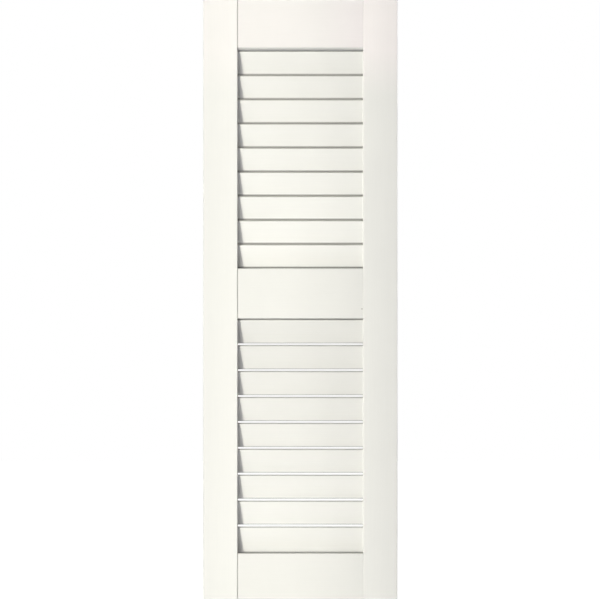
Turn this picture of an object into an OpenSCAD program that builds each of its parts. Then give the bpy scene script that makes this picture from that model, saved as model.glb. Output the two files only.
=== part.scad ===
// Fixed-louvre shutter panel, painted wood.
// X runs across the panel, the front faces -Y and Z is up.
// The origin is the middle of the panel's bottom edge, at half the thickness.

/* [Panel] */
// Overall width
panel_w = 305; // [240:1:460]
// Overall height
panel_h = 940; // [780:1:1200]
// Thickness of the stiles
panel_t = 31.8; // [27:0.1:45]

/* [Stiles and rails] */
// Width of each stile
stile_w = 54; // [45:0.5:80]
// Height of the top rail at the front
top_rail_h = 75.2; // [60:0.1:120]
// Height of the middle rail at the front
mid_rail_h = 78.4; // [60:0.1:120]
// Height of the bottom rail
bottom_rail_h = 71.5; // [60:0.1:150]
// Height of the opening between the top and middle rails
upper_opening_h = 346; // [320:0.5:420]
// How far the rail faces lie below the stile faces, front and back
rail_inset = 0.4; // [0:0.1:1]
// How much the underside of the top rail drops from front to back
top_rail_drop = 3.5; // [0:0.1:4.5]
// Height of the bevel on the lower front edge of the top rail
top_rail_bevel_h = 2.8; // [1:0.1:4]
// How far that bevel runs back
top_rail_bevel_d = 6.5; // [3:0.5:12]
// How much the underside of the middle rail drops from front to back
mid_rail_drop = 1.6; // [0:0.1:2]
// Radius on the long edges of the stiles
stile_ease = 1.5; // [0.5:0.1:3]
// Chamfer on the long edges of the rails
rail_arris = 0.8; // [0.3:0.1:2]

/* [Louvres] */
// Louvres in each opening
louvre_count = 9; // [5:1:10]
// Width of a louvre along its slope
louvre_w = 39; // [32:0.1:44]
// Width of the closing louvre at the foot of the panel
closing_louvre_w = 42.6; // [32:0.1:46]
// Thickness of a louvre
louvre_t = 6.4; // [5:0.1:8]
// Radius on the long edges of a louvre
louvre_ease = 1.6; // [0.5:0.1:2.4]
// Slope of the louvres from level, front edge high
louvre_tilt = 71; // [60:1:80]
// How far the louvres are centred behind the middle of the thickness
louvre_offset = 2.5; // [0:0.1:3]
// Gap between the top rail's front edge and the first louvre
upper_first_gap = 4; // [2.5:0.1:6]
// Gap between the middle rail's front edge and the first louvre
lower_first_gap = 1.2; // [1.1:0.1:4]
// Gap between the last louvre of an opening and the rail under it
last_gap = 0.3; // [0.1:0.1:3]

/* [Joinery] */
// Depth of the louvre housings in the stiles
housing_depth = 6; // [4:0.5:10]
// Clearance round a louvre in its housing
housing_gap = 0.15; // [0.05:0.05:0.3]
// Space between a louvre's end and the floor of its housing
housing_end_gap = 0.3; // [0.1:0.1:0.8]
// Diameter of the dowels
dowel_d = 10; // [8:0.5:12]
// Length of the dowels
dowel_len = 64; // [40:1:76]
// Distance from a rail's edge to the nearest dowel's axis
dowel_margin = 20; // [14:0.5:24]
// Radial clearance of a dowel in its hole
dowel_gap = 0.05; // [0.02:0.01:0.1]
// Glue space beyond each end of a dowel
dowel_end_gap = 1.5; // [0.5:0.5:3]

/* [Hidden] */
SIDES = ["left", "right"];
RAILS = ["top", "mid", "bottom"];
ENDS = ["upper", "lower"];

paint = [0.95, 0.95, 0.92];
beech = [0.82, 0.66, 0.46];
$fn = 48;
through = 1; // how far a cutter runs past the face it opens

opening_w = panel_w - 2 * stile_w;
front_y = -panel_t / 2;
louvre_y = louvre_offset;

// Heights of the rails' edges, from the foot of the panel up.
lower_bottom_z = bottom_rail_h;
upper_top_z = panel_h - top_rail_h;
upper_bottom_z = upper_top_z - upper_opening_h;
lower_top_z = upper_bottom_z - mid_rail_h;

// A rail is [lowest front edge, top edge, drop of its underside].
function rail_span(r) =
    r == "top" ? [upper_top_z, panel_h, top_rail_drop]
    : r == "mid" ? [lower_top_z, upper_bottom_z, mid_rail_drop]
    : [0, lower_bottom_z, 0];

// Height of a tilted louvre, edge to edge, seen from the front.
function louvre_rise(w) =
    (w - 2 * louvre_ease) * sin(louvre_tilt)
    + (louvre_t - 2 * louvre_ease) * cos(louvre_tilt)
    + 2 * louvre_ease;

// An opening is [top, bottom, first gap, width of its last louvre].
function opening(o) =
    o == "upper" ? [upper_top_z, upper_bottom_z, upper_first_gap, louvre_w]
    : [lower_top_z, lower_bottom_z, lower_first_gap, closing_louvre_w];

function width_of(o, i) = i == louvre_count ? opening(o)[3] : louvre_w;

// The top edges of the louvres are evenly pitched between the two gaps.
function pitch(o) =
    (opening(o)[0] - opening(o)[1] - opening(o)[2] - last_gap - louvre_rise(opening(o)[3]))
    / (louvre_count - 1);

function louvre_z(o, i) =
    opening(o)[0] - opening(o)[2] - (i - 1) * pitch(o) - louvre_rise(width_of(o, i)) / 2;

// The two dowels of a rail end share its mid-thickness.
function dowel_z(r, e) =
    e == "upper" ? rail_span(r)[1] - dowel_margin : rail_span(r)[0] + dowel_margin;

function side_sign(s) = s == "left" ? -1 : 1;

// Flat rectangle with true arcs at its corners, centred.
module rounded_rectangle(w, h, r) {
    square([w - 2 * r, h], center = true);
    square([w, h - 2 * r], center = true);
    for (x = [-1, 1], y = [-1, 1])
        translate([x * (w / 2 - r), y * (h / 2 - r)]) circle(r);
}

// Lays a section drawn in (Y, Z) along X, centred on x = 0.
module along_x(len) {
    translate([-len / 2, 0, 0]) rotate([90, 0, 90]) linear_extrude(len) children();
}

// A louvre's section, grown by a clearance, over a given length.
module louvre_bar(o, i, len, grow) {
    translate([0, louvre_y, louvre_z(o, i)])
        along_x(len)
            rotate(-louvre_tilt)
                rounded_rectangle(
                    width_of(o, i) + 2 * grow, louvre_t + 2 * grow, louvre_ease + grow);
}

module louvre(o, i) {
    color(paint)
        louvre_bar(o, i, opening_w + 2 * (housing_depth - housing_end_gap), 0);
}

module dowel_bar(r, s, e, len, radius) {
    translate([side_sign(s) * opening_w / 2 - len / 2, 0, dowel_z(r, e)])
        rotate([0, 90, 0]) cylinder(h = len, r = radius);
}

module dowel(r, s, e) {
    color(beech) dowel_bar(r, s, e, dowel_len, dowel_d / 2);
}

// The holes for one side's dowels, in stile and rail together.
module dowel_holes(r, s) {
    for (e = ENDS)
        dowel_bar(r, s, e, dowel_len + 2 * dowel_end_gap, dowel_d / 2 + dowel_gap);
}

// An upright with eased long edges, a housing for each louvre and holes for its dowels.
module stile(s) {
    color(paint)
        difference() {
            translate([side_sign(s) * (panel_w - stile_w) / 2, 0, 0])
                linear_extrude(panel_h) rounded_rectangle(stile_w, panel_t, stile_ease);
            for (o = ENDS, i = [1 : louvre_count])
                louvre_bar(o, i, opening_w + 2 * housing_depth, housing_gap);
            for (r = RAILS) dowel_holes(r, s);
        }
}

// A rail's section: square at the top, its underside dropping towards the back.
// The lower front edge of the top rail is bevelled, the others are only eased.
module rail_section(r) {
    z = rail_span(r);
    y = panel_t / 2 - rail_inset;
    c = rail_arris;
    slope = z[2] / (2 * y);
    lip = r == "top" ? [top_rail_bevel_d, c - top_rail_bevel_h] : [c, -c * slope];
    polygon([
        [-y, z[0] + c], [-y + lip[0], z[0] + lip[1]],
        [y - c, z[0] - z[2] + c * slope], [y, z[0] - z[2] + c],
        [y, z[1] - c], [y - c, z[1]], [-y + c, z[1]], [-y, z[1] - c]
    ]);
}

module rail(r) {
    color(paint)
        difference() {
            along_x(opening_w) rail_section(r);
            for (s = SIDES) dowel_holes(r, s);
        }
}

stile("left");  // left_stile
stile("right");  // right_stile
for (r = RAILS)
    rail(r);
for (o = ENDS, i = [1 : louvre_count])
    louvre(o, i);
for (r = RAILS, s = SIDES, e = ENDS)
    dowel(r, s, e);
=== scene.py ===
import math

import bpy
import numpy as np
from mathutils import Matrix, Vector


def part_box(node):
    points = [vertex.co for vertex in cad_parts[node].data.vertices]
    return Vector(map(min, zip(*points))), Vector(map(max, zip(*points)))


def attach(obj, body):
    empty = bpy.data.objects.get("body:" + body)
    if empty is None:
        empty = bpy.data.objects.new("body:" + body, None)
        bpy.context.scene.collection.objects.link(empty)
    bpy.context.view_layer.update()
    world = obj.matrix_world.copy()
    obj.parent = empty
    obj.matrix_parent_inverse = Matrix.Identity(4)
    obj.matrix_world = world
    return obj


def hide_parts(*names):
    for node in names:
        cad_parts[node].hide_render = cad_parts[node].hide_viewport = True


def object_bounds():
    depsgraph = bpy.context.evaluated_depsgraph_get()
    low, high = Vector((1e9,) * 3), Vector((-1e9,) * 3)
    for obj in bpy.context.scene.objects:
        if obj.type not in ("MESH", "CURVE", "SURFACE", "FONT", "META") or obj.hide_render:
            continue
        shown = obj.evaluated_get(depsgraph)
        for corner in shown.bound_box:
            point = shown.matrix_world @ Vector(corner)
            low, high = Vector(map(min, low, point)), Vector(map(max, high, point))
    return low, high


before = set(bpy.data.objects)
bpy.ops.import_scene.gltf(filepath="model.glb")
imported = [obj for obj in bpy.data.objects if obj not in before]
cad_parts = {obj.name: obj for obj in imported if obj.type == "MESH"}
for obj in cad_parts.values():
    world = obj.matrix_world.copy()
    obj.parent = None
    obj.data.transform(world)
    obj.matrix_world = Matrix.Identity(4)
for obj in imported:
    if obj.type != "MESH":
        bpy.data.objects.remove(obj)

cad_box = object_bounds()


# ---------------------------------------------------------------- camera
# The shutter is seen square on from a long way off, so that its stiles stay
# parallel and the slats show their steep faces evenly.
panel_low, panel_high = cad_box
panel_middle = (panel_low + panel_high) / 2
view_distance = 7.06
view_width = 0.9414  # metres across the view, at the front faces
camera_shift_x, camera_shift_z = -0.00055, -0.0007  # it stands a hair left of and below the middle

camera_data = bpy.data.cameras.new("long_view")
camera = bpy.data.objects.new("long_view", camera_data)
bpy.context.scene.collection.objects.link(camera)
camera.location = (camera_shift_x, -view_distance, panel_middle.z + camera_shift_z)
camera.rotation_euler = (math.radians(90), 0, 0)
camera_data.sensor_width = 36
camera_data.lens = 36 * (view_distance + panel_low.y) / view_width
camera_data.clip_end = 60
bpy.context.scene.camera = camera
bpy.context.scene.view_settings.view_transform = "Standard"


# ---------------------------------------------------------------- studio
# A white room with a pale floor. A tall narrow strip lamp stands close on the
# left and three distant lamps shine level from the left and the front, so the
# light is even over the height. One shines up from the floor, and four light
# the right side, the back and the top.
room = bpy.data.worlds.new("white_room")
bpy.context.scene.world = room
room.use_nodes = True
room_nodes, room_links = room.node_tree.nodes, room.node_tree.links
room_nodes.clear()
room_glow = room_nodes.new("ShaderNodeBackground")
room_glow.inputs["Color"].default_value = (1.0, 1.0, 1.0, 1)
room_glow.inputs["Strength"].default_value = 0.233
room_wall = room_nodes.new("ShaderNodeBackground")
room_wall.inputs["Color"].default_value = (1.0, 1.0, 1.0, 1)
room_wall.inputs["Strength"].default_value = 1.0
room_sight = room_nodes.new("ShaderNodeLightPath")
room_pick = room_nodes.new("ShaderNodeMixShader")
room_out = room_nodes.new("ShaderNodeOutputWorld")
room_links.new(room_sight.outputs["Is Camera Ray"], room_pick.inputs["Fac"])
room_links.new(room_glow.outputs["Background"], room_pick.inputs[1])
room_links.new(room_wall.outputs["Background"], room_pick.inputs[2])
room_links.new(room_pick.outputs["Shader"], room_out.inputs["Surface"])

floor_finish = bpy.data.materials.new("pale_floor_paint")
floor_finish.use_nodes = True
floor_nodes, floor_links = floor_finish.node_tree.nodes, floor_finish.node_tree.links
floor_nodes.clear()
floor_matt = floor_nodes.new("ShaderNodeBsdfDiffuse")
floor_matt.inputs["Color"].default_value = (0.28, 0.28, 0.277, 1)
floor_lift = floor_nodes.new("ShaderNodeEmission")
floor_lift.inputs["Color"].default_value = (1.0, 1.0, 1.0, 1)
floor_lift.inputs["Strength"].default_value = 1.0
floor_bright = floor_nodes.new("ShaderNodeAddShader")
floor_sight = floor_nodes.new("ShaderNodeLightPath")
floor_pick = floor_nodes.new("ShaderNodeMixShader")
floor_out = floor_nodes.new("ShaderNodeOutputMaterial")
floor_links.new(floor_matt.outputs["BSDF"], floor_bright.inputs[0])
floor_links.new(floor_lift.outputs["Emission"], floor_bright.inputs[1])
floor_links.new(floor_sight.outputs["Is Camera Ray"], floor_pick.inputs["Fac"])
floor_links.new(floor_matt.outputs["BSDF"], floor_pick.inputs[1])
floor_links.new(floor_bright.outputs["Shader"], floor_pick.inputs[2])
floor_links.new(floor_pick.outputs["Shader"], floor_out.inputs["Surface"])

floor_mesh = bpy.data.meshes.new("studio_floor")
floor_corners = [(-4, -9, -0.0005), (4, -9, -0.0005), (4, 6, -0.0005), (-4, 6, -0.0005)]
floor_mesh.from_pydata(floor_corners, [], [(0, 1, 2, 3)])
floor_mesh.materials.append(floor_finish)
studio_floor = bpy.data.objects.new("studio_floor", floor_mesh)
bpy.context.scene.collection.objects.link(studio_floor)
studio_floor.visible_shadow = False  # the lamps reach past it, as past a low plinth


def gridded_lamp(name, azimuth, elevation, distance, aim_z, width, height, spread, watts, colour):
    """A rectangular lamp on a sphere round the point (0, 0, aim_z): azimuth
    turns from straight in front towards the right, elevation lifts it. The
    grid over its face narrows the beam to the spread, in degrees."""
    a, e = math.radians(azimuth), math.radians(elevation)
    out = Vector((math.sin(a) * math.cos(e), -math.cos(a) * math.cos(e), math.sin(e)))
    data = bpy.data.lights.new(name, "AREA")
    data.shape, data.size, data.size_y, data.energy = "RECTANGLE", width, height, watts
    data.spread, data.color = math.radians(spread), colour
    lamp = bpy.data.objects.new(name, data)
    bpy.context.scene.collection.objects.link(lamp)
    lamp.location = Vector((0, 0, aim_z)) + out * distance
    lamp.rotation_euler = (-out).to_track_quat("-Z", "Y").to_euler()
    lamp.visible_camera = False
    return lamp


# name, azimuth, elevation, distance, aim height, width, height, spread, watts, colour
for lamp_setting in (
    ("near_strip_lamp", -30, 0, 0.9, 0.47, 0.08, 2.2, 50, 2.31, (1.0, 0.98, 0.858)),
    ("right_side_lamp", 98, 0, 2.0, 0.55, 0.5, 0.9, 100, 4.5, (1, 1, 1)),
    ("back_left_lamp", -150, 8, 2.2, 0.55, 0.6, 0.9, 100, 6.4, (1, 1, 1)),
    ("back_right_lamp", 140, 8, 2.2, 0.55, 0.6, 0.9, 100, 5.4, (1, 1, 1)),
    ("back_high_lamp", 180, 80, 1.6, 0.94, 0.6, 0.6, 100, 4.6, (1, 1, 1)),
):
    gridded_lamp(*lamp_setting)


def distant_lamp(name, azimuth, elevation, breadth, strength):
    """A lamp too far off to fall away across the panel. Azimuth and elevation
    are as above, and the breadth is the angle it fills, in degrees."""
    a, e = math.radians(azimuth), math.radians(elevation)
    data = bpy.data.lights.new(name, "SUN")
    data.energy, data.angle = strength, math.radians(breadth)
    lamp = bpy.data.objects.new(name, data)
    bpy.context.scene.collection.objects.link(lamp)
    out = Vector((math.sin(a) * math.cos(e), -math.cos(a) * math.cos(e), math.sin(e)))
    lamp.rotation_euler = (-out).to_track_quat("-Z", "Y").to_euler()
    return lamp


distant_lamp("far_left_lamp", -33, 0, 7, 0.259)
distant_lamp("far_middle_lamp", -12, 0, 7, 0.367)
distant_lamp("far_front_lamp", -4, 0, 7, 0.067)
distant_lamp("floor_bounce_lamp", -10, -55, 50, 1.0)


# ---------------------------------------------------------------- stiles
# The two uprights are planed softwood with sanded long edges, housed for the
# slats and dowelled to the rails. They are brushed with satin white paint,
# laid off up and down.
def brushed_paint():
    """The finish that all the painted wood shares. Long thin noise along the
    brush gives the strokes, wide noise gives uneven cover, and faces that
    look up take the dust colour given, which is dust on the frame and a
    painted shade on the slats' top edges. Where the grime input is high the
    colour goes to a dark grey: a nick and dirt at the rails' joints, and
    painted shade at those joints, on the stiles' inner faces and along the slats' edges."""
    group = bpy.data.node_groups.new("brushed_paint", "ShaderNodeTree")
    sockets = group.interface
    for name, kind in (("Stroke Scale", "NodeSocketVector"), ("Paint", "NodeSocketColor"),
                       ("Dust And Shade", "NodeSocketColor"), ("Grime And Shade", "NodeSocketFloat")):
        sockets.new_socket(name, in_out="INPUT", socket_type=kind)
    for name, kind in (("Colour", "NodeSocketColor"), ("Roughness", "NodeSocketFloat"),
                       ("Normal", "NodeSocketVector")):
        sockets.new_socket(name, in_out="OUTPUT", socket_type=kind)
    nodes, link = group.nodes, group.links.new
    given, result = nodes.new("NodeGroupInput"), nodes.new("NodeGroupOutput")
    place = nodes.new("ShaderNodeTexCoord")

    stretch = nodes.new("ShaderNodeVectorMath")
    stretch.operation = "MULTIPLY"
    link(place.outputs["Object"], stretch.inputs[0])
    link(given.outputs["Stroke Scale"], stretch.inputs[1])
    strokes = nodes.new("ShaderNodeTexNoise")
    strokes.inputs["Scale"].default_value = 1.0
    strokes.inputs["Detail"].default_value = 4.0
    strokes.inputs["Roughness"].default_value = 0.6
    link(stretch.outputs["Vector"], strokes.inputs["Vector"])

    cover = nodes.new("ShaderNodeTexNoise")
    cover.inputs["Scale"].default_value = 14.0
    cover.inputs["Detail"].default_value = 3.0
    link(place.outputs["Object"], cover.inputs["Vector"])

    stroke_tone = nodes.new("ShaderNodeMapRange")
    stroke_tone.inputs["From Min"].default_value = 0.3
    stroke_tone.inputs["From Max"].default_value = 0.7
    stroke_tone.inputs["To Min"].default_value = 0.988
    stroke_tone.inputs["To Max"].default_value = 1.008
    link(strokes.outputs["Fac"], stroke_tone.inputs["Value"])
    cover_tone = nodes.new("ShaderNodeMapRange")
    cover_tone.inputs["From Min"].default_value = 0.3
    cover_tone.inputs["From Max"].default_value = 0.7
    cover_tone.inputs["To Min"].default_value = 0.984
    cover_tone.inputs["To Max"].default_value = 1.008
    link(cover.outputs["Fac"], cover_tone.inputs["Value"])
    tone = nodes.new("ShaderNodeMath")
    tone.operation = "MULTIPLY"
    link(stroke_tone.outputs["Result"], tone.inputs[0])
    link(cover_tone.outputs["Result"], tone.inputs[1])
    toned = nodes.new("ShaderNodeVectorMath")
    toned.operation = "SCALE"
    link(given.outputs["Paint"], toned.inputs[0])
    link(tone.outputs["Value"], toned.inputs["Scale"])

    facing = nodes.new("ShaderNodeNewGeometry")
    split = nodes.new("ShaderNodeSeparateXYZ")
    link(facing.outputs["Normal"], split.inputs["Vector"])
    looks_up = nodes.new("ShaderNodeMapRange")
    looks_up.inputs["From Min"].default_value = 0.35
    looks_up.inputs["From Max"].default_value = 0.95
    looks_up.inputs["To Min"].default_value = 0.0
    looks_up.inputs["To Max"].default_value = 1.0
    link(split.outputs["Z"], looks_up.inputs["Value"])
    # Faces that look up are mixed towards the dust colour: dust on the frame, painted shade on the slats'
    # top edges.
    up_dust_and_shade = nodes.new("ShaderNodeMix")
    up_dust_and_shade.data_type = "RGBA"
    link(looks_up.outputs["Result"], up_dust_and_shade.inputs["Factor"])
    link(toned.outputs["Vector"], up_dust_and_shade.inputs["A"])
    link(given.outputs["Dust And Shade"], up_dust_and_shade.inputs["B"])
    # Dark grey where the grime input is high: dirt in some places, painted shade in others.
    soil_and_shade = nodes.new("ShaderNodeMix")
    soil_and_shade.data_type = "RGBA"
    soil_and_shade.inputs["B"].default_value = (0.24, 0.235, 0.22, 1)
    link(given.outputs["Grime And Shade"], soil_and_shade.inputs["Factor"])
    link(up_dust_and_shade.outputs["Result"], soil_and_shade.inputs["A"])
    link(soil_and_shade.outputs["Result"], result.inputs["Colour"])

    sheen_range = nodes.new("ShaderNodeMapRange")
    sheen_range.inputs["From Min"].default_value = 0.3
    sheen_range.inputs["From Max"].default_value = 0.7
    sheen_range.inputs["To Min"].default_value = 0.40
    sheen_range.inputs["To Max"].default_value = 0.52
    link(cover.outputs["Fac"], sheen_range.inputs["Value"])
    link(sheen_range.outputs["Result"], result.inputs["Roughness"])

    relief = nodes.new("ShaderNodeBump")
    relief.inputs["Strength"].default_value = 0.35
    relief.inputs["Distance"].default_value = 0.00012
    link(strokes.outputs["Fac"], relief.inputs["Height"])
    link(relief.outputs["Normal"], result.inputs["Normal"])
    return group


paint_group = brushed_paint()


def painted_wood(name, stroke_scale, paint, dust_and_shade):
    """A satin paint material: the shared brushed finish feeds the shader's
    colour, roughness and normal."""
    finish = bpy.data.materials.new(name)
    finish.use_nodes = True
    nodes, link = finish.node_tree.nodes, finish.node_tree.links.new
    shader = nodes["Principled BSDF"]
    coat = nodes.new("ShaderNodeGroup")
    coat.node_tree = paint_group
    coat.inputs["Stroke Scale"].default_value = stroke_scale
    coat.inputs["Paint"].default_value = (*paint, 1)
    coat.inputs["Dust And Shade"].default_value = (*dust_and_shade, 1)
    link(coat.outputs["Colour"], shader.inputs["Base Color"])
    link(coat.outputs["Roughness"], shader.inputs["Roughness"])
    link(coat.outputs["Normal"], shader.inputs["Normal"])
    return finish


def shade_between_slats(finish):
    """A painted shade on the faces that the two stiles turn to each other,
    in the recesses between the slats: where a face looks across the panel
    towards the middle line, the dark grey mix goes to about a third."""
    nodes, link = finish.node_tree.nodes, finish.node_tree.links.new
    place, facing = nodes.new("ShaderNodeTexCoord"), nodes.new("ShaderNodeNewGeometry")
    place_split, facing_split = nodes.new("ShaderNodeSeparateXYZ"), nodes.new("ShaderNodeSeparateXYZ")
    link(place.outputs["Object"], place_split.inputs["Vector"])
    link(facing.outputs["Normal"], facing_split.inputs["Vector"])
    side = nodes.new("ShaderNodeMath")
    side.operation = "SIGN"
    link(place_split.outputs["X"], side.inputs[0])
    outwards = nodes.new("ShaderNodeMath")
    outwards.operation = "MULTIPLY"
    link(side.outputs["Value"], outwards.inputs[0])
    link(facing_split.outputs["X"], outwards.inputs[1])
    inner = nodes.new("ShaderNodeMapRange")
    inner.inputs["From Min"].default_value = -0.85
    inner.inputs["From Max"].default_value = -0.98
    inner.inputs["To Max"].default_value = 0.35
    link(outwards.outputs["Value"], inner.inputs["Value"])
    coat = next(node for node in nodes if node.type == "GROUP")
    link(inner.outputs["Result"], coat.inputs["Grime And Shade"])


def painted_warm_light():
    """A painted warm light: the front of the frame is lighter and warmer
    towards the panel's head, most of all on the right. The tint comes in
    evenly from 150 to 80 mm below the top, times a share that grows evenly
    from 0.45 near the middle to 1 at the right stile, times a mask that
    grows evenly as a face turns from sideways to the front, and it multiplies the coat."""
    group = bpy.data.node_groups.new("painted_warm_light", "ShaderNodeTree")
    sockets = group.interface
    sockets.new_socket("Colour", in_out="INPUT", socket_type="NodeSocketColor")
    sockets.new_socket("Tint", in_out="INPUT", socket_type="NodeSocketColor")
    sockets.new_socket("Colour", in_out="OUTPUT", socket_type="NodeSocketColor")
    nodes, link = group.nodes, group.links.new
    given, result = nodes.new("NodeGroupInput"), nodes.new("NodeGroupOutput")
    place, facing = nodes.new("ShaderNodeTexCoord"), nodes.new("ShaderNodeNewGeometry")
    place_split, facing_split = nodes.new("ShaderNodeSeparateXYZ"), nodes.new("ShaderNodeSeparateXYZ")
    link(place.outputs["Object"], place_split.inputs["Vector"])
    link(facing.outputs["Normal"], facing_split.inputs["Vector"])
    high_up = nodes.new("ShaderNodeMapRange")
    high_up.inputs["From Min"].default_value = panel_high.z - 0.15
    high_up.inputs["From Max"].default_value = panel_high.z - 0.08
    link(place_split.outputs["Z"], high_up.inputs["Value"])
    to_front = nodes.new("ShaderNodeMapRange")
    to_front.inputs["From Min"].default_value = -0.3
    to_front.inputs["From Max"].default_value = -0.8
    link(facing_split.outputs["Y"], to_front.inputs["Value"])
    to_right = nodes.new("ShaderNodeMapRange")
    to_right.inputs["From Min"].default_value = 0.03
    to_right.inputs["From Max"].default_value = 0.11
    to_right.inputs["To Min"].default_value = 0.45
    link(place_split.outputs["X"], to_right.inputs["Value"])
    patch = nodes.new("ShaderNodeMath")
    patch.operation = "MULTIPLY"
    link(high_up.outputs["Result"], patch.inputs[0])
    link(to_right.outputs["Result"], patch.inputs[1])
    amount = nodes.new("ShaderNodeMath")
    amount.operation = "MULTIPLY"
    link(patch.outputs["Value"], amount.inputs[0])
    link(to_front.outputs["Result"], amount.inputs[1])
    warmed = nodes.new("ShaderNodeMix")
    warmed.data_type = "RGBA"
    warmed.blend_type = "MULTIPLY"
    link(amount.outputs["Value"], warmed.inputs["Factor"])
    link(given.outputs["Colour"], warmed.inputs["A"])
    link(given.outputs["Tint"], warmed.inputs["B"])
    link(warmed.outputs["Result"], result.inputs["Colour"])
    return group


warm_light_group = painted_warm_light()


def add_painted_warm_light(finish, tint):
    """Passes the finished colour through the painted warm light on its way to the shader."""
    nodes, link = finish.node_tree.nodes, finish.node_tree.links.new
    base = nodes["Principled BSDF"].inputs["Base Color"]
    coat = base.links[0].from_socket
    warm = nodes.new("ShaderNodeGroup")
    warm.node_tree = warm_light_group
    warm.inputs["Tint"].default_value = (*tint, 1)
    link(coat, warm.inputs["Colour"])
    link(warm.outputs["Colour"], base)


white_paint = (0.800, 0.800, 0.796)
frame_dust = (0.68, 0.675, 0.66)
stile_paint = painted_wood("stile_white", (900, 900, 14), white_paint, frame_dust)
shade_between_slats(stile_paint)
add_painted_warm_light(stile_paint, (1.11, 1.06, 1.085))
for stile in ("left_stile", "right_stile"):
    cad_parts[stile].material_slots[0].material = stile_paint


# ---------------------------------------------------------------- rails
# Three cross rails, a hair thinner than the stiles, glued between them. Their
# paint is laid off from side to side. A dark line at their left ends is dirt in
# joints opened by a hair and painted shade from the light on the left, the
# middle one has a small nick by its right joint, and a painted highlight runs down that joint.
stile_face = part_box("left_stile")[1].x  # where the left stile ends and the rails begin
mid_rail_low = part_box("mid_rail")[0]
nick_place = (-stile_face - 0.0018, mid_rail_low.y, mid_rail_low.z + 0.0165)
highlight_top, highlight_foot = mid_rail_low.z + 0.0472, mid_rail_low.z - 0.0088
rail_coat = (0.754, 0.754, 0.750)


def ramp(nodes, link, value, low, high, most):
    """Goes from 0 to most while the value goes from low to high."""
    node = nodes.new("ShaderNodeMapRange")
    node.inputs["From Min"].default_value = low
    node.inputs["From Max"].default_value = high
    node.inputs["To Max"].default_value = most
    link(value, node.inputs["Value"])
    return node.outputs["Result"]


def combine(nodes, link, operation, first, second):
    """One arithmetic step between two masks."""
    node = nodes.new("ShaderNodeMath")
    node.operation = operation
    link(first, node.inputs[0])
    link(second, node.inputs[1])
    return node.outputs["Value"]


def joint_marks(finish):
    """Dirt and painted shade on the last half millimetre at the left ends, a
    small round nick beside the middle rail's right joint, and a near-white
    painted highlight down the last third of a millimetre there."""
    nodes, link = finish.node_tree.nodes, finish.node_tree.links.new
    place, split = nodes.new("ShaderNodeTexCoord"), nodes.new("ShaderNodeSeparateXYZ")
    link(place.outputs["Object"], split.inputs["Vector"])
    across, height = split.outputs["X"], split.outputs["Z"]
    away = nodes.new("ShaderNodeVectorMath")
    away.operation = "DISTANCE"
    away.inputs[1].default_value = nick_place
    link(place.outputs["Object"], away.inputs[0])
    # Dirt and painted shade at the left ends; the nick is a real mark.
    open_joint_and_shade = ramp(nodes, link, across, stile_face + 0.0007, stile_face + 0.0004, 0.8)
    nick = ramp(nodes, link, away.outputs["Value"], 0.0011, 0.0006, 1.0)
    coat = next(node for node in nodes if node.type == "GROUP")
    link(combine(nodes, link, "MAXIMUM", open_joint_and_shade, nick), coat.inputs["Grime And Shade"])

    at_joint = ramp(nodes, link, across, -stile_face - 0.0006, -stile_face - 0.0003, 1.0)
    below = ramp(nodes, link, height, highlight_top, highlight_top - 0.01, 1.0)
    above = ramp(nodes, link, height, highlight_foot, highlight_foot + 0.002, 1.0)
    beside = combine(nodes, link, "MULTIPLY", at_joint, combine(nodes, link, "MULTIPLY", below, above))
    # A painted highlight: near-white down the middle rail's right joint.
    joint_highlight = nodes.new("ShaderNodeMix")
    joint_highlight.data_type = "RGBA"
    joint_highlight.inputs["B"].default_value = (0.92, 0.92, 0.90, 1)
    link(beside, joint_highlight.inputs["Factor"])
    link(coat.outputs["Colour"], joint_highlight.inputs["A"])
    link(joint_highlight.outputs["Result"], nodes["Principled BSDF"].inputs["Base Color"])


rail_paint = painted_wood("rail_white", (14, 900, 900), rail_coat, frame_dust)
joint_marks(rail_paint)
add_painted_warm_light(rail_paint, (1.085, 1.025, 1.07))
for rail in ("top_rail", "mid_rail", "bottom_rail"):
    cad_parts[rail].material_slots[0].material = rail_paint


# ---------------------------------------------------------------- louvres
# Eighteen thin softwood slats with sanded edges, pushed into slots in the
# stiles at one steep slope. They are painted in place, along their length, so
# the paint gathers in a small bead where each end goes into its stile. Their
# lower edges carry a grey line of painted shade, and on the close-set slats the painted shade reaches
# higher and greys their top edges too.
slat_slope = math.radians(71)
slat_thickness = 0.0064
slat_ease = 0.0016
# The grey that the slats' upward faces take: dust and painted shade on their top edges.
slat_dust_and_shade = (0.50, 0.495, 0.48)
crown_height, wander = 0.0001, 0.00004
bead_height, bead_reach = 0.00042, 0.0006


def slat_outline(width, thickness, ease, reach):
    """A rectangle with rounded corners, once round: each corner is a quarter
    circle of ten points. The flats between are divided evenly, but for the
    first and last points of the faces, which lie a given reach from the
    corners. Gives the points and the outward directions at them."""
    turn = np.linspace(0, math.pi / 2, 10)
    points, outward = [], []
    for corner, (across, through) in enumerate(((1, 1), (-1, 1), (-1, -1), (1, -1))):
        angle = turn + corner * math.pi / 2
        direction = np.stack([np.cos(angle), np.sin(angle)], axis=1)
        centre = np.array([across * (width / 2 - ease), through * (thickness / 2 - ease)])
        arc = centre + ease * direction
        flat = 14 if corner in (0, 2) else 3
        following = ((-1, 1), (-1, -1), (1, -1), (1, 1))[corner]
        next_centre = np.array([following[0] * (width / 2 - ease), following[1] * (thickness / 2 - ease)])
        last = next_centre + ease * direction[-1]
        share = np.linspace(0, 1, flat + 2)[1:-1, None]
        if flat > 3:
            step = reach / np.linalg.norm(last - arc[-1])
            share[0], share[-1] = step, 1 - step
        points += [arc, arc[-1] * (1 - share) + last * share]
        outward += [direction, np.repeat(direction[-1:], flat, axis=0)]
    return np.concatenate(points), np.concatenate(outward)


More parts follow.
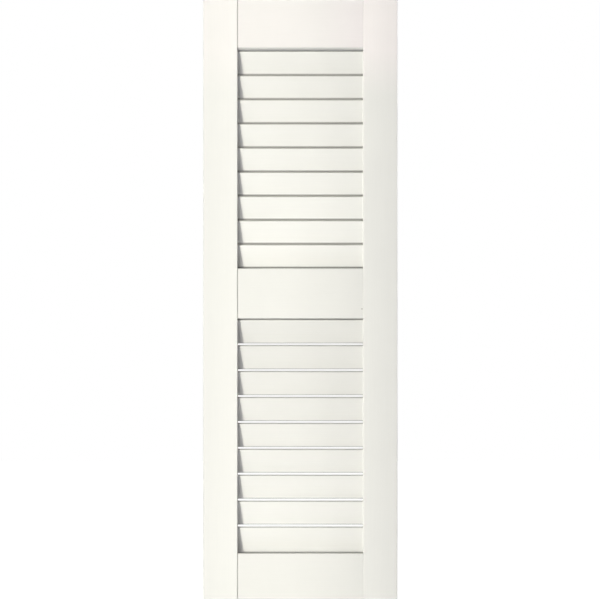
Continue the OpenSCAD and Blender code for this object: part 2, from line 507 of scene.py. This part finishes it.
def painted_slat(name, low, high, number, close_set, top_edge_shade):
    """The outline is carried along X at the slat's slope. Each point moves out
    by the paint's crown, fullest mid-face and a tenth of a millimetre deep, by
    a slow hand-sanded wander of a few hundredths, and by a bead that dies away
    as a bell curve within a millimetre of the stile. A painted shade, kept in a
    point attribute, falls off evenly up from the lower edge. Close-set slats leave
    no gap between them, so theirs reaches higher, and the top amount greys their top edges with painted
    shade."""
    middle = (low + high) / 2
    rise = high.z - low.z
    thick, ease, slope = slat_thickness, slat_ease, slat_slope
    width = 2 * ease + (rise - 2 * ease - (thick - 2 * ease) * math.cos(slope)) / math.sin(slope)
    reach = 0.0026 if close_set else 0.0008
    outline, outward = slat_outline(width, thick, ease, reach)
    open_half = abs(stile_face)
    near = np.array([0.0, 0.00008, 0.0002, 0.0004, 0.0007, 0.0011, 0.0017, 0.003, 0.006])
    left = np.concatenate([[low.x, -open_half - 0.0004], -open_half + near])
    inside = np.linspace(-open_half + 0.011, open_half - 0.011, 34)
    along = np.concatenate([left, inside, -left[::-1]])
    depth_in = open_half - np.abs(along)

    in_face = np.clip(1 - (outline[:, 0] / (width / 2)) ** 2, 0, 1) * (np.abs(outward[:, 1]) > 0.99)
    crown = crown_height * in_face
    lengthwise = np.sin(along * 31 + number * 2.1)[:, None]
    sway = wander * lengthwise * np.cos(outline[:, 0] * 160 + number)[None, :]
    bead = bead_height * np.exp(-(depth_in / bead_reach) ** 2) * (depth_in >= 0)
    shown = (depth_in >= 0)[:, None]
    out = (crown[None, :] + sway) * shown + bead[:, None]

    section = outline[None, :, :] + outward[None, :, :] * out[:, :, None]
    cos, sin = math.cos(-slope), math.sin(-slope)
    y = section[..., 0] * cos - section[..., 1] * sin + middle.y
    z = section[..., 0] * sin + section[..., 1] * cos + middle.z
    x = np.broadcast_to(along[:, None], y.shape)
    points = np.stack([x, y, z], axis=-1).reshape(-1, 3)

    rows, round_count = len(along), len(outline)
    r, c = np.meshgrid(np.arange(rows - 1), np.arange(round_count), indexing="ij")
    following = (c + 1) % round_count
    this, beyond = r * round_count, (r + 1) * round_count
    faces = np.stack([this + c, this + following, beyond + following, beyond + c], axis=-1).reshape(-1, 4)
    ends = [list(range(round_count))[::-1], [(rows - 1) * round_count + k for k in range(round_count)]]
    mesh = bpy.data.meshes.new(name)
    mesh.from_pydata(points, [], faces.tolist() + ends)
    mesh.validate()
    mesh.polygons.foreach_set("use_smooth", np.concatenate([np.ones(len(faces), bool), np.zeros(2, bool)]))
    mesh.update()
    from_foot = width / 2 - outline[:, 0]
    # Painted shade: along the lower edge, and on close-set slats also on the top edges.
    if close_set:
        painted_edge_shade = np.clip((ease + reach - from_foot) / 0.0014, 0, 1)
        painted_edge_shade += top_edge_shade * np.clip(-1.6 * outward[:, 0] - 0.4, 0, 1)
    else:
        painted_edge_shade = 0.9 * np.clip((ease + reach / 3 - from_foot) / 0.0010, 0, 1)
    mesh.attributes.new("painted_edge_shade", "FLOAT", "POINT").data.foreach_set("value", np.tile(painted_edge_shade, rows))
    slat = bpy.data.objects.new(name, mesh)
    bpy.context.scene.collection.objects.link(slat)
    return slat


def opening_tone_and_shade(finish, openings):
    """The slats' tone runs evenly with height, rising from the top of each
    opening to its foot, and falls evenly across towards their right ends as a
    painted shade away from the light on the left. An opening is given as the
    heights of its top and foot and the tones there, and the first one is the upper."""
    nodes, link = finish.node_tree.nodes, finish.node_tree.links.new
    place, split = nodes.new("ShaderNodeTexCoord"), nodes.new("ShaderNodeSeparateXYZ")
    link(place.outputs["Object"], split.inputs["Vector"])
    tones = []
    for top, foot, first_tone, last_tone in openings:
        tone = nodes.new("ShaderNodeMapRange")
        tone.inputs["From Min"].default_value = top
        tone.inputs["From Max"].default_value = foot
        tone.inputs["To Min"].default_value = first_tone
        tone.inputs["To Max"].default_value = last_tone
        link(split.outputs["Z"], tone.inputs["Value"])
        tones.append(tone)
    in_upper = nodes.new("ShaderNodeMath")
    in_upper.operation = "GREATER_THAN"
    in_upper.inputs[1].default_value = openings[0][1] - 0.005
    link(split.outputs["Z"], in_upper.inputs[0])
    pick = nodes.new("ShaderNodeMix")
    link(in_upper.outputs["Value"], pick.inputs["Factor"])
    link(tones[1].outputs["Result"], pick.inputs["A"])
    link(tones[0].outputs["Result"], pick.inputs["B"])
    across = nodes.new("ShaderNodeMapRange")
    across.inputs["From Min"].default_value = stile_face
    across.inputs["From Max"].default_value = -stile_face
    across.inputs["To Min"].default_value = 1.0
    across.inputs["To Max"].default_value = 0.955
    link(split.outputs["X"], across.inputs["Value"])
    both = nodes.new("ShaderNodeMath")
    both.operation = "MULTIPLY"
    link(pick.outputs["Result"], both.inputs[0])
    link(across.outputs["Result"], both.inputs[1])
    shader = nodes["Principled BSDF"]
    coat = shader.inputs["Base Color"].links[0].from_socket
    toned = nodes.new("ShaderNodeVectorMath")
    toned.operation = "SCALE"
    link(coat, toned.inputs[0])
    link(both.outputs["Value"], toned.inputs["Scale"])
    link(toned.outputs["Vector"], shader.inputs["Base Color"])


louvre_paint = painted_wood("louvre_white", (14, 700, 700), white_paint, slat_dust_and_shade)
edge_shade_input = louvre_paint.node_tree.nodes.new("ShaderNodeAttribute")
edge_shade_input.attribute_name = "painted_edge_shade"
louvre_coat = next(node for node in louvre_paint.node_tree.nodes if node.type == "GROUP")
louvre_paint.node_tree.links.new(edge_shade_input.outputs["Fac"], louvre_coat.inputs["Grime And Shade"])
opening_tone_and_shade(louvre_paint, (
    (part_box("top_rail")[0].z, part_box("mid_rail")[1].z, 0.977, 1.082),
    (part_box("mid_rail")[0].z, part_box("bottom_rail")[1].z, 0.919, 1.045),
))
slat_names = sorted(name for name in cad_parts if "_louvre_" in name)
for number, node_name in enumerate(slat_names):
    low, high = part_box(node_name)
    close_set, first = node_name.startswith("upper"), node_name.endswith("_1")
    slat = painted_slat("painted_" + node_name, low, high, number, close_set, 0.0 if first else 0.4)
    slat.data.materials.append(louvre_paint)
    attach(slat, "root")
    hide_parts(node_name)


# ---------------------------------------------------------------- dowels
# Smooth beech pins, turned round and glued across the joints of the frame.
# They are hidden there, and would show only with the frame taken apart.
beech = bpy.data.materials.new("beech_pin")
beech.use_nodes = True
beech_nodes, beech_link = beech.node_tree.nodes, beech.node_tree.links.new
beech_place = beech_nodes.new("ShaderNodeTexCoord")
beech_stretch = beech_nodes.new("ShaderNodeMapping")
beech_stretch.inputs["Scale"].default_value = (30, 900, 900)
beech_grain = beech_nodes.new("ShaderNodeTexNoise")
beech_grain.inputs["Scale"].default_value = 1.0
beech_grain.inputs["Detail"].default_value = 5.0
beech_ramp = beech_nodes.new("ShaderNodeValToRGB")
beech_ramp.color_ramp.elements[0].color = (0.42, 0.25, 0.13, 1)
beech_ramp.color_ramp.elements[1].color = (0.66, 0.46, 0.28, 1)
beech_shader = beech_nodes["Principled BSDF"]
beech_shader.inputs["Roughness"].default_value = 0.6
beech_link(beech_place.outputs["Object"], beech_stretch.inputs["Vector"])
beech_link(beech_stretch.outputs["Vector"], beech_grain.inputs["Vector"])
beech_link(beech_grain.outputs["Fac"], beech_ramp.inputs["Fac"])
beech_link(beech_ramp.outputs["Color"], beech_shader.inputs["Base Color"])
for name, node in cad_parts.items():
    if name.endswith("_dowel"):
        node.material_slots[0].material = beech
